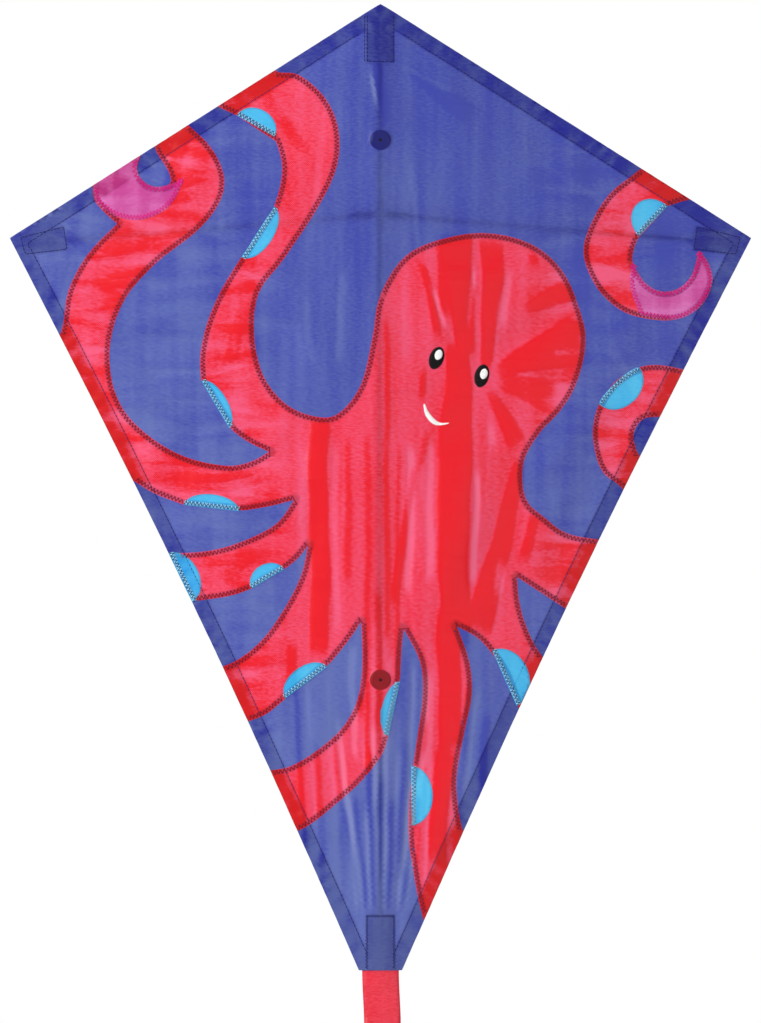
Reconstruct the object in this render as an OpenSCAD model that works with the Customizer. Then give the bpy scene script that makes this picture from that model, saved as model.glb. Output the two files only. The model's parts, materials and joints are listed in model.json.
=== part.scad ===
// Octopus kite: a framed diamond sail with an inlaid fabric octopus, a bridle hole at each patch, and a
// ribbon tail. X runs across the kite, Z runs up the spine and the face looks along -Y. The spine rod's
// axis is the fold line. Heights in the outlines are measured up from the foot. The whole kite is then
// moved so that the mouth of the upper bridle hole is the origin.

/* [Sail] */
// Height of the kite from foot to nose
kite_height = 762; // [755:1:770]
// Half of the width, measured along the flat cloth of one wing
half_span = 296; // [293:1:299]
// Height of the wing tips above the foot
tip_height = 579; // [576:1:582]
// Half of the width of the square-cut foot
foot_half = 16.5; // [16:0.5:18]
// How far the trailing edge bows inwards from a straight line
edge_bow = 7; // [5:0.5:8]
// Angle that each wing is swept back at rest
dihedral = 7; // [4:0.5:10]
// Width of the joins where two colours of cloth lie over each other
overlap = 4.5; // [3:0.5:5]

/* [Frame] */
// Radius of the spine rod
spine_r = 2; // [1.75:0.05:2]
// Radius of the two half spars
spar_r = 1.5; // [1.25:0.05:1.6]
// Height above the foot where the spars meet the spine
cross_height = 597; // [594:1:600]
// Angle at which each half spar slopes down towards its wing tip
spar_slope = 4.4; // [4:0.1:4.8]
// Length of the bar of the centre fitting
fitting_w = 46; // [40:1:50]

/* [Bridle] */
// Radius of the holes for the bridle line
hole_r = 1.25; // [1:0.05:1.5]
// Radius of the patches around the holes
patch_r = 8; // [7:0.5:8]
// Height of the upper bridle hole above the foot
upper_hole = 655; // [645:1:665]
// Height of the lower bridle hole above the foot
lower_hole = 229; // [225:1:235]

/* [Tail] */
// Width of the tail ribbon
tail_w = 29; // [25:1:30]
// Length of the ribbon that hangs free above the folded hank
tail_drop = 46; // [44:1:60]
// Length of the folded hank
hank_len = 150; // [120:1:180]
// Thickness of the folded hank
hank_t = 20; // [16:1:24]

/* [Hidden] */

$fn = 48;
cloth_t = 0.5;         // thickness of one layer of cloth
layer_gap = 0.05;      // gap between two layers that lie on each other
seam_gap = 0.15;       // half of the gap between the wings at the fold line
sail_front = -3.5;     // front of the sail, measured from the spine's axis
curve_steps = 4;       // straight pieces between two points of a curve
edge_steps = 12;       // straight pieces along a trailing edge
outside = 60;          // how far outlines run past the sail's edge before they are trimmed
clear_gap = 0.5;       // room between a wing's cloth and the pieces that stay with the spine
drill_past = 1;        // how far a hole's cutter runs past the face it opens in

pocket_half = 11;      // half width of the nose and foot pockets
nose_pocket_z = 716;   // lower edge of the nose pocket
foot_pocket_z = 44;    // upper edge of the foot pocket
pocket_edge_t = 1.2;   // thickness of a pocket at its sewn sides
pocket_wall = 0.8;     // cloth over the rod's cap
pocket_steps = 8;      // straight pieces along each side of a pocket's arch
pocket_room = 0.15;    // room round a cap in its pocket
pocket_end = 0.3;      // room between a cap's end and its pocket
nose_trim = 0.5;       // the nose pocket stops this far below the sail's point
tip_pocket_t = 5.2;    // thickness of a pocket at a wing tip, with the capped spar in it
tip_pocket_z = 240;    // the room in a tip pocket starts this far out along the spar
tip_pocket_outline = [[249, 569], [252, 589], [289, 580.5], [285, 565]];
patch_t = 0.8;         // thickness of a bridle patch with the sail's cloth in it
smile_half = 1.1;      // half width of the mouth's line at its middle

cap_wall = 0.6;        // wall of the soft cap over the end of a rod
cap_len = 8;           // length of such a cap
cap_end = 1.5;         // thickness of its closed end
cap_fit = 0.02;        // room between a cap and its rod
spine_low = 4;         // foot end of the spine, cap included
spine_high = 752;      // nose end of the spine, cap included
spar_start = 5;        // inner end of a half spar
spar_end = 285;        // outer end of a half spar, cap included
hub_wall = 0.75;       // wall of the centre fitting's sleeve, thin enough to stay behind the sail
hub_h = 22;            // height of the sleeve
socket_wall = 1.3;     // wall of an arm of the centre fitting
socket_start = 4.2;    // inner end of an arm
fit_gap = 0.05;        // room between a rod and the fitting that grips it

tie_wall = 1;          // thickness of the strip that ties the hank
tie_h = 10;            // its width
tail_y = -2.65;        // the ribbon hangs just behind the sail
ribbon_t = 0.5;        // thickness of the ribbon
hinge_gap = 0.5;       // gap between the sail's foot and the ribbon that hangs from it

blue = "#4B50A5";
red = "#EB1C24";
cyan = "#3CBEF0";
magenta = "#D23CA0";
black = "#151515";
dark = "#25264F";

// ---- Curves -------------------------------------------------------------------------------------

function spline_at(a, b, c, d, t) =
    b + (c - a) * t / 2 + (2 * a - 5 * b + 4 * c - d) * t * t / 2 + (3 * b - a - 3 * c + d) * t * t * t / 2;

// A smooth line through the given points, without its last point, so that stretches join at sharp corners.
function curve(p) = [
    for (i = [0 : len(p) - 2], k = [0 : curve_steps - 1])
        spline_at(p[max(i - 1, 0)], p[i], p[i + 1], p[min(i + 2, len(p) - 1)], k / curve_steps)
];

// An oval arch over the line from a to b, which stands out to its left by depth.
function oval_arch(a, b, depth, steps) =
    let (mid = (a + b) / 2, along = (b - a) / 2, side = [-along[1], along[0]] / norm(along) * depth)
    [for (k = [0 : steps]) mid - along * cos(180 * k / steps) + side * sin(180 * k / steps)];

// Half an oval on the line from a to b. Its straight side may stand out by back the other way.
function half_oval(a, b, depth, back = 0) =
    concat(oval_arch(a, b, depth, 20), back > 0 ? oval_arch(b, a, back, 8) : []);

function mirrored(p) = [for (q = p) [-q[0], q[1]]];

// ---- Outlines, as [x, height above the foot] ----------------------------------------------------

trailing_edge = [
    for (k = [0 : edge_steps])
        let (t = k / edge_steps, x = half_span + (foot_half - half_span) * t)
        [x - edge_bow * sin(180 * t), tip_height * (1 - t)]
];

right_wing_outline = concat([[seam_gap, 0], [seam_gap, kite_height]], trailing_edge);

octopus_outline = concat(
    // right side of the inner arm, the head and the right shoulder
    curve([[-84, 735], [-84, 711], [-65, 707], [-44, 689], [-33, 664], [-34, 635], [-48, 604], [-75, 563],
           [-96, 535], [-100, 503], [-93, 470], [-75, 447], [-52, 437], [-33, 439], [-15, 462], [-6, 500],
           [-1, 530], [15, 559], [39, 574], [80, 582], [118, 574], [143, 554], [157, 525], [163, 496],
           [155, 462], [142, 441], [126, 424], [113, 400], [115, 372], [130, 357], [147, 345], [171, 340],
           [200, 338]]),
    // down outside the edge, then the seventh arm between two notches
    [[200, 251]],
    curve([[108, 310], [110, 290], [116, 270], [127, 249], [150, 220]]),
    [[150, 180]],
    curve([[118, 185], [105, 218], [96, 238], [79, 260], [60, 271]]),
    // the sixth arm
    curve([[60, 271], [70, 243], [72, 218], [67, 192], [61, 160], [60, 140], [64, 113], [76, 85]]),
    [[60, 20]],
    curve([[38, 25], [31, 50], [26, 76], [22, 105], [23, 140], [28, 178], [33, 215], [31, 243], [18, 269]]),
    curve([[18, 269], [16, 250], [15, 227]]),
    // the fifth arm
    curve([[6, 185], [1, 170], [-14, 150], [-35, 131], [-55, 115], [-72, 107], [-100, 98]]),
    curve([[-120, 154], [-88, 157], [-70, 161], [-50, 173], [-30, 191], [-18, 213], [-14, 240], [-15, 275]]),
    // the fourth arm
    curve([[-15, 275], [-25, 260], [-42, 239]]),
    curve([[-75, 214], [-90, 202], [-105, 196], [-130, 190]]),
    curve([[-160, 232], [-126, 239], [-108, 248], [-92, 262], [-77, 283], [-63, 310], [-57, 335]]),
    // the third arm
    curve([[-57, 335], [-65, 325], [-76, 316]]),
    curve([[-102, 301], [-120, 295], [-151, 291], [-180, 292]]),
    curve([[-200, 330], [-155, 329], [-125, 333], [-98, 343], [-80, 354], [-68, 371]]),
    // the outer arm
    curve([[-68, 371], [-88, 366], [-112, 362]]),
    curve([[-156, 367], [-180, 376], [-200, 388], [-225, 400]]),
    [[-290, 480]],
    curve([[-270, 480], [-255, 504], [-249, 537], [-234, 565], [-210, 590]]),
    curve([[-210, 590], [-222, 601], [-229, 612], [-229, 635]]),
    [[-229, 680], [-153, 720]],
    curve([[-170, 685], [-153, 668], [-134, 649], [-124, 626], [-129, 604], [-148, 582], [-178, 559],
           [-203, 531], [-215, 498], [-214, 465], [-203, 440], [-182, 420], [-155, 405], [-123, 398],
           [-103, 401], [-88, 409]]),
    // left side of the inner arm
    curve([[-88, 409], [-105, 417], [-120, 428]]),
    curve([[-142, 465], [-143, 485], [-137, 512], [-125, 539], [-110, 563]]),
    curve([[-84, 603], [-79, 620], [-78, 638], [-84, 658]]),
    curve([[-114, 675], [-131, 683], [-150, 690]]),
    [[-150, 735]]
);

// The sail shows through the curl of the outer arm.
outer_curl_hole = curve([[-170, 670], [-180, 652], [-169, 632], [-167, 622], [-178, 619], [-188, 623],
                         [-194, 633], [-190, 650], [-195, 670], [-170, 670]]);

arm_tip_left_outline = concat(
    curve([[-229, 660], [-229, 616], [-222, 603], [-208, 595], [-191, 593], [-174, 599], [-163, 610],
           [-156, 626]]),
    curve([[-156, 626], [-167, 621], [-178, 619], [-188, 623], [-194, 633], [-190, 650], [-186, 670]])
);

upper_right_outline = concat(
    curve([[240, 660], [207, 633], [181, 612], [165, 584], [162, 562], [172, 539], [190, 522], [210, 515],
           [235, 514], [255, 524], [265, 543], [262, 559], [254, 569]]),
    curve([[254, 569], [248, 549], [236, 538], [221, 537], [209, 545], [201, 559], [202, 570], [206, 580]]),
    curve([[229, 604], [241, 608], [260, 612]])
);

arm_tip_right_outline = concat(
    curve([[207, 517], [235, 514], [255, 524], [265, 543], [262, 559], [254, 569]]),
    curve([[254, 569], [248, 549], [236, 538], [221, 537], [209, 545], [201, 559]]),
    curve([[201, 559], [198, 545], [201, 531], [207, 517]])
);

middle_right_outline = concat(
    curve([[275, 468], [240, 475], [222, 478], [206, 476], [187, 465], [174, 447], [169, 430], [170, 412],
           [177, 393], [192, 381], [210, 360]]),
    [[290, 400]]
);

middle_curl_hole = curve([[255, 436], [220, 437], [208, 434], [202, 424], [203, 414], [209, 404], [235, 390],
                          [255, 436]]);

sucker_outlines = [
    ["inner_arm_top", half_oval([-114, 675], [-84, 658], 14)],
    ["inner_arm_middle", half_oval([-84, 603], [-110, 563], 13)],
    ["inner_arm_low", half_oval([-142, 465], [-120, 428], 10)],
    ["outer_arm", half_oval([-156, 367], [-112, 362], 11)],
    ["third_arm_edge", half_oval([-170, 328], [-150, 290], 16)],
    ["third_arm", half_oval([-102, 301], [-76, 316], 12)],
    ["fourth_arm", half_oval([-75, 214], [-42, 239], 13)],
    ["fifth_arm", half_oval([6, 185], [15, 227], 9.5)],
    ["sixth_arm", half_oval([24, 161], [24, 114], 17)],
    ["seventh_arm", half_oval([88, 252], [108, 208], 20)],
    ["upper_right_arm", half_oval([206, 580], [229, 604], 19)],
    ["middle_right_arm", half_oval([206, 476], [174, 447], 17, 4)],
];

function sucker_outline(name) = [for (s = sucker_outlines) if (s[0] == name) s[1]][0];

smile_points = curve([[34, 447], [37, 438], [45, 431], [56, 432]]);

// ---- Placing ------------------------------------------------------------------------------------

// Puts geometry, drawn about the spine's axis with heights from the foot, into the kite's own frame.
module placed() {
    translate([0, -sail_front, -upper_hole]) children();
}

// Sweeps one wing back about the spine's axis. side is 1 for the right wing and -1 for the left one.
module swept(side) {
    rotate([0, 0, side * dihedral]) children();
}

// Turns an outline of [x, height] into cloth whose front is at y = front.
module cloth(front, thickness = cloth_t) {
    translate([0, front + thickness, 0]) rotate([90, 0, 0]) linear_extrude(thickness) children();
}

function layer_front(level) = sail_front - level * (cloth_t + layer_gap);

// One piece of sail or inlay: trimmed to its wing, and swept back with it.
module wing_cloth(side, level) {
    placed() swept(side) cloth(layer_front(level)) intersection() {
        wing_shape(side);
        children();
    }
}

// ---- Flat shapes --------------------------------------------------------------------------------

module wing_shape(side) {
    difference() {
        polygon(side > 0 ? right_wing_outline : mirrored(right_wing_outline));
        translate([-pocket_half - clear_gap, nose_pocket_z - clear_gap])
            square([2 * (pocket_half + clear_gap), kite_height]);
        translate([-pocket_half - clear_gap, -clear_gap])
            square([2 * (pocket_half + clear_gap), foot_pocket_z + 2 * clear_gap]);
        for (z = [upper_hole, lower_hole]) translate([0, z]) circle(patch_r + clear_gap);
    }
}

module octopus_shape() {
    difference() {
        polygon(octopus_outline);
        polygon(outer_curl_hole);
    }
}

module middle_right_shape() {
    difference() {
        polygon(middle_right_outline);
        polygon(middle_curl_hole);
    }
}

// What is cut away behind an inlay: its shape less the overlap of the join.
module cut_behind() {
    offset(delta = -overlap) children();
}

module suckers_cut() {
    for (s = sucker_outlines) cut_behind() polygon(s[1]);
}

module blue_shape() {
    difference() {
        square([2 * outside + 2 * half_span, 3 * kite_height], center = true);
        cut_behind() octopus_shape();
        cut_behind() polygon(upper_right_outline);
        cut_behind() middle_right_shape();
    }
}

module red_shape() {
    difference() {
        octopus_shape();
        suckers_cut();
        cut_behind() polygon(arm_tip_left_outline);
    }
}

// ---- Sail, octopus and face ---------------------------------------------------------------------

module sail(side) {
    color(blue) wing_cloth(side, 0) blue_shape();
}

module octopus(side) {
    color(red) wing_cloth(side, 1) red_shape();
}

module upper_right_arm() {
    color(red) wing_cloth(1, 1) difference() {
        polygon(upper_right_outline);
        cut_behind() polygon(arm_tip_right_outline);
        suckers_cut();
    }
}

module middle_right_arm() {
    color(red) wing_cloth(1, 1) difference() {
        middle_right_shape();
        suckers_cut();
    }
}

module arm_tip(side) {
    color(magenta) wing_cloth(side, 2) polygon(side > 0 ? arm_tip_right_outline : arm_tip_left_outline);
}

module sucker(name, side) {
    color(cyan) wing_cloth(side, 2) polygon(sucker_outline(name));
}

module oval(x, z, w, h, tilt) {
    translate([x, z]) rotate(-tilt) polygon([for (a = [0 : 15 : 345]) [w / 2 * cos(a), h / 2 * sin(a)]]);
}

module eye(x, z, tilt) {
    color(black) wing_cloth(1, 2) oval(x, z, 11.5, 18, tilt);
}

module eye_glint(x, z, tilt) {
    color("white") wing_cloth(1, 3) oval(x, z, 6, 8, tilt);
}

// The mouth's line grows from both ends towards its middle.
module smile() {
    last = len(smile_points) - 1;
    color("white") wing_cloth(1, 2) polygon(concat(
        [for (k = [0 : last]) smile_points[k] - [1, 1] * smile_half * sin(180 * k / last)],
        [for (k = [last - 1 : -1 : 1]) smile_points[k] + [1, 1] * smile_half * sin(180 * k / last)]
    ));
}

// ---- Pockets and patches ------------------------------------------------------------------------

// The room in a pocket for the capped end of a rod.
module cap_room(r, length) {
    cylinder(r = r + cap_wall + pocket_room, h = length);
}

// Half of a pocket's cross-section, flat at the sail's front and arched over the rod at the back.
pocket_back = spine_r + cap_wall + pocket_wall;
pocket_side = concat(
    [[0, sail_front], [pocket_half, sail_front], [pocket_half, sail_front + pocket_edge_t]],
    [for (k = [1 : pocket_steps])
        let (rise = (1 - cos(180 * k / pocket_steps)) / 2)
        [pocket_half * (1 - k / pocket_steps),
         sail_front + pocket_edge_t + (pocket_back - sail_front - pocket_edge_t) * rise]]
);

module pocket_body(low, high) {
    last = len(pocket_side) - 1;
    other_side = [for (k = [last - 1 : -1 : 1]) [-pocket_side[k][0], pocket_side[k][1]]];
    translate([0, 0, low]) linear_extrude(high - low) polygon(concat(pocket_side, other_side));
}

module nose_pocket() {
    roof = spine_high + pocket_end;
    color(dark) placed() difference() {
        intersection() {
            pocket_body(nose_pocket_z, kite_height);
            translate([0, outside, 0]) rotate([90, 0, 0]) linear_extrude(2 * outside)
                polygon([[-half_span, tip_height], [half_span, tip_height], [0, kite_height - nose_trim]]);
        }
        translate([0, 0, nose_pocket_z - drill_past]) cap_room(spine_r, roof - nose_pocket_z + drill_past);
    }
}

module foot_pocket() {
    color(dark) placed() difference() {
        pocket_body(0, foot_pocket_z);
        translate([0, 0, spine_low - pocket_end]) cap_room(spine_r, foot_pocket_z);
    }
}

// Lays a rod's parts along the half spar of one wing, measured out from the spine's axis.
module along_spar(side) {
    placed() swept(side) translate([0, 0, cross_height]) rotate([0, side * (90 + spar_slope), 0]) children();
}

module tip_pocket(side) {
    color(dark) difference() {
        placed() swept(side) cloth(sail_front + cloth_t + layer_gap, tip_pocket_t)
            polygon(side > 0 ? tip_pocket_outline : mirrored(tip_pocket_outline));
        along_spar(side) translate([0, 0, tip_pocket_z])
            cap_room(spar_r, spar_end - tip_pocket_z + pocket_end);
    }
}

module bridle_patch(z) {
    color(dark) placed() difference() {
        translate([0, sail_front, z]) rotate([-90, 0, 0]) cylinder(r = patch_r, h = patch_t);
        translate([0, sail_front - drill_past, z]) rotate([-90, 0, 0])
            cylinder(r = hole_r, h = patch_t + 2 * drill_past);
    }
}

// ---- Frame --------------------------------------------------------------------------------------

module spine_rod() {
    color(black) placed() translate([0, 0, spine_low + cap_end])
        cylinder(r = spine_r, h = spine_high - spine_low - 2 * cap_end);
}

// A cap over the end of a rod: it opens at z = 0 and closes at z = cap_len.
module end_cap(rod_r) {
    difference() {
        cylinder(r = rod_r + cap_wall, h = cap_len);
        translate([0, 0, -drill_past]) cylinder(r = rod_r + cap_fit, h = cap_len - cap_end + drill_past);
    }
}

module spine_cap_nose() {
    color(black) placed() translate([0, 0, spine_high - cap_len]) end_cap(spine_r);
}

module spine_cap_foot() {
    color(black) placed() translate([0, 0, spine_low + cap_len]) mirror([0, 0, 1]) end_cap(spine_r);
}

module half_spar(side) {
    color(black) along_spar(side) translate([0, 0, spar_start])
        cylinder(r = spar_r, h = spar_end - cap_end - spar_start);
}

module spar_cap(side) {
    color(black) along_spar(side) translate([0, 0, spar_end - cap_len]) end_cap(spar_r);
}

// The sleeve of the centre fitting, which grips the spine.
module centre_hub() {
    color(black) placed() translate([0, 0, cross_height - hub_h / 2]) difference() {
        cylinder(r = spine_r + hub_wall, h = hub_h);
        translate([0, 0, -drill_past]) cylinder(r = spine_r + fit_gap, h = hub_h + 2 * drill_past);
    }
}

// One arm of the centre fitting. The soft fitting bends beside its sleeve, so each arm turns with its wing.
module spar_socket(side) {
    color(black) along_spar(side) difference() {
        translate([0, 0, socket_start]) cylinder(r = spar_r + socket_wall, h = fitting_w / 2 - socket_start);
        cylinder(r = spar_r + fit_gap, h = fitting_w);
    }
}

// ---- Tail ---------------------------------------------------------------------------------------

module tail_ribbon() {
    color(red) placed() translate([-tail_w / 2, tail_y - ribbon_t / 2, -tail_drop])
        cube([tail_w, ribbon_t, tail_drop - hinge_gap]);
}

// Outline of the hank seen from its side.
module hank_side() {
    r = hank_t / 2;
    reach = hank_len / 2 - hank_t / 2;
    for (end = [-1, 1]) translate([0, end * reach]) circle(r);
    square([2 * r, 2 * reach], center = true);
}

module at_hank() {
    placed() translate([0, tail_y, -tail_drop - hank_len / 2]) rotate([90, 0, 90]) children();
}

module tail_hank() {
    color(red) at_hank() linear_extrude(tail_w, center = true) hank_side();
}

module tail_tie() {
    inner_y = hank_t / 2 + fit_gap;
    inner_x = tail_w / 2 + fit_gap;
    color(red) placed() translate([0, tail_y, -tail_drop - hank_len / 2]) linear_extrude(tie_h, center = true)
        difference() {
            square([2 * (inner_x + tie_wall), 2 * (inner_y + tie_wall)], center = true);
            square([2 * inner_x, 2 * inner_y], center = true);
        }
}

// ---- Nodes --------------------------------------------------------------------------------------

sail(-1);  // sail_left
sail(1);  // sail_right
octopus(-1);  // octopus_left
octopus(1);  // octopus_right
upper_right_arm();
middle_right_arm();
arm_tip(-1);  // arm_tip_left
arm_tip(1);  // arm_tip_right
sucker("inner_arm_top", -1);  // sucker_inner_arm_top
sucker("inner_arm_middle", -1);  // sucker_inner_arm_middle
sucker("inner_arm_low", -1);  // sucker_inner_arm_low
sucker("outer_arm", -1);  // sucker_outer_arm
sucker("third_arm_edge", -1);  // sucker_third_arm_edge
sucker("third_arm", -1);  // sucker_third_arm
sucker("fourth_arm", -1);  // sucker_fourth_arm
sucker("fifth_arm", 1);  // sucker_fifth_arm
sucker("sixth_arm", 1);  // sucker_sixth_arm
sucker("seventh_arm", 1);  // sucker_seventh_arm
sucker("upper_right_arm", 1);  // sucker_upper_right_arm
sucker("middle_right_arm", 1);  // sucker_middle_right_arm
eye(44, 483, 20);  // eye_left
eye(80, 469, 15);  // eye_right
eye_glint(45.5, 485.5, 20);  // eye_glint_left
eye_glint(81.5, 470.5, 15);  // eye_glint_right
smile();
nose_pocket();
foot_pocket();
tip_pocket(-1);  // tip_pocket_left
tip_pocket(1);  // tip_pocket_right
bridle_patch(upper_hole);  // bridle_patch_upper
bridle_patch(lower_hole);  // bridle_patch_lower
spine_rod();
spine_cap_nose();
spine_cap_foot();
half_spar(-1);  // half_spar_left
half_spar(1);  // half_spar_right
spar_cap(-1);  // spar_cap_left
spar_cap(1);  // spar_cap_right
centre_hub();
spar_socket(-1);  // spar_socket_left
spar_socket(1);  // spar_socket_right
tail_ribbon();
tail_hank();
tail_tie();
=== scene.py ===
"""Looks of the octopus kite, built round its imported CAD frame.

Cloth is laid out flat in cloth coordinates, in millimetres: s runs across the kite, positive on the right
wing, and z is the height in the row frame. surface() lifts it onto the swept wings, with its folds added.
"""

import json
import math
from collections import namedtuple

import bpy
import numpy as np
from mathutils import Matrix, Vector
from mathutils.geometry import delaunay_2d_cdt


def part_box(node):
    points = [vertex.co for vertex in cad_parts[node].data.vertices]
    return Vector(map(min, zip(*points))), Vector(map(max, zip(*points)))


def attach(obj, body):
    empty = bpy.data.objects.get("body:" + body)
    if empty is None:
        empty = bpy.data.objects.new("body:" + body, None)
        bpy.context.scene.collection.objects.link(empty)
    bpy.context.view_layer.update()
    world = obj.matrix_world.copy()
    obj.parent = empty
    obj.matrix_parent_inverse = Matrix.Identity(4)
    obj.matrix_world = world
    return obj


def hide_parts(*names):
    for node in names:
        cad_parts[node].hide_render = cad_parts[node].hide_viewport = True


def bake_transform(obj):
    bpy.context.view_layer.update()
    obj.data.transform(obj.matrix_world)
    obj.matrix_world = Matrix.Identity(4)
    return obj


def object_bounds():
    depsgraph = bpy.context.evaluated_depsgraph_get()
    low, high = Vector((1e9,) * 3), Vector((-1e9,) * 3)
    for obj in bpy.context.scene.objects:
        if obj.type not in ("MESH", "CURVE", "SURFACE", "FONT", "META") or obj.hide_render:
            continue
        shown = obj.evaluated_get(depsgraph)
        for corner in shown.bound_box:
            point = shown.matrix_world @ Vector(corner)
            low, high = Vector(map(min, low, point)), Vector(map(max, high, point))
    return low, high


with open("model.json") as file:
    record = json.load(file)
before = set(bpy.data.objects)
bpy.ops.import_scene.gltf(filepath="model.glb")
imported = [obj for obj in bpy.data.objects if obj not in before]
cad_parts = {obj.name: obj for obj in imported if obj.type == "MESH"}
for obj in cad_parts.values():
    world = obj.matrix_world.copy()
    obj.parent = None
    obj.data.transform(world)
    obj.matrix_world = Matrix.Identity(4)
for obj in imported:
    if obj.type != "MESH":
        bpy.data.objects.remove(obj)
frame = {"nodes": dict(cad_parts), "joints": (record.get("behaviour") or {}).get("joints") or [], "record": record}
cad_low, cad_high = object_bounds()
NODES = frame["nodes"]
MM = 0.001
rng = np.random.default_rng(7)

# ---- Sizes, read from the frame ----


def joint(name):
    return next(j for j in frame["joints"] if j["name"] == name)


def box_mm(node):
    low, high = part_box(node)
    return np.array(low) / MM, np.array(high) / MM


def side_of(node):
    """1 for a node on the right wing, and -1 for one on the left wing."""
    low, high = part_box(node)
    return 1 if low[0] + high[0] > 0 else -1


def wing_sweep():
    """The angle that the right wing is swept back at rest, from the normals of its sail's front."""
    mesh = NODES["sail_right"].data
    normals = [p.normal for p in mesh.polygons if p.normal.y < -0.9 and abs(p.normal.z) < 0.01]
    return float(np.median([math.atan2(n.x, -n.y) for n in normals]))


AXIS_Y = joint("right_wing_fold")["pos_m"][1] / MM
SWEEP = wing_sweep()
SPINE_LOW, SPINE_HIGH = box_mm("spine_rod")
FOOT_Z = box_mm("foot_pocket")[0][2]
FOOT_POCKET_Z = box_mm("foot_pocket")[1][2]
NOSE_POCKET_Z = box_mm("nose_pocket")[0][2]
POCKET_HALF = box_mm("nose_pocket")[1][0]
PATCH_R = box_mm("bridle_patch_upper")[1][0]
PATCH_Z = {"upper": 0.0, "lower": sum(corner[2] for corner in box_mm("bridle_patch_lower")) / 2}
HOLE_R = frame["record"]["mounts"][0]["dims"]["r_mm"]
TAIL_LOW, TAIL_HIGH = box_mm("tail_ribbon")
HANK_LOW, HANK_HIGH = box_mm("tail_hank")

# The cloth's own sizes, which the CAD's thicker panels leave open.
CLOTH_DEPTH = -3.2     # the sail's depth in front of the spine's axis
BEND = 12              # the cloth turns from one wing to the other within this distance of the fold line
LAYER = 0.22           # one layer of cloth lies this far in front of the next
HEM_W = 12
HEM_BEHIND = 0.35      # the turned hem lies this far behind its cloth
TURN_OUT = 0.35        # its turn stands out this far past the edge
SEAM_LAP = 4.7         # the blue cloth is trimmed off this far under the red
SUCKER_LAP = 1.0       # the octopus's cloth reaches this far under a sucker
GRID = 2.9             # distance between the points of the cloth
FINE_GRID = 2.0        # the same on the octopus, whose folds show more
KITE_H = 762           # from the foot to the nose
TIP_H = 579            # from the foot to the wing tips
HALF_SPAN = 296        # from the fold line to a wing tip, along the cloth
FOOT_HALF = 16.5       # half the width of the foot
EDGE_BOW = 7           # the lower edges bow in this far
NOSE_Z = FOOT_Z + KITE_H
TIP_Z = FOOT_Z + TIP_H
HANDS = {-1: "left", 1: "right"}

# Pieces of the CAD, by what their cloth does.
SEAMED = ["octopus_left", "octopus_right", "upper_right_arm", "middle_right_arm"]
FACE_NODES = ["eye_left", "eye_right", "smile"]
SUCKERS = [n for n in NODES if n.startswith("sucker_")]
ARM_TIPS = ["arm_tip_left", "arm_tip_right"]


def smooth(t):
    t = np.clip(t, 0, 1)
    return t * t * (3 - 2 * t)


# ---- The lie of the cloth ----


FOLD_RISE = 0.8        # how far a fold of strength 1 stands out, in mm
FOLD_LIMIT = 1.2       # where folds cross, they stand out by no more than this many times as far
FANNED_FOLDS = 30      # upright folds that fan out from the foot over the lower half
FOOT_FOLDS = 15        # narrow folds that run down to the foot pocket
COMB_RISE = 0.16       # how far the fine upright folds stand out
HEM_PUCKERS = 0.32     # how strong the creases across the hems are
# a patch's strength gives the cloth painted shade, where the dark patch behind blocks the light through it
PATCH_SHARE = 4.0      # the strength that stands for a dark patch behind the cloth
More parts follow.
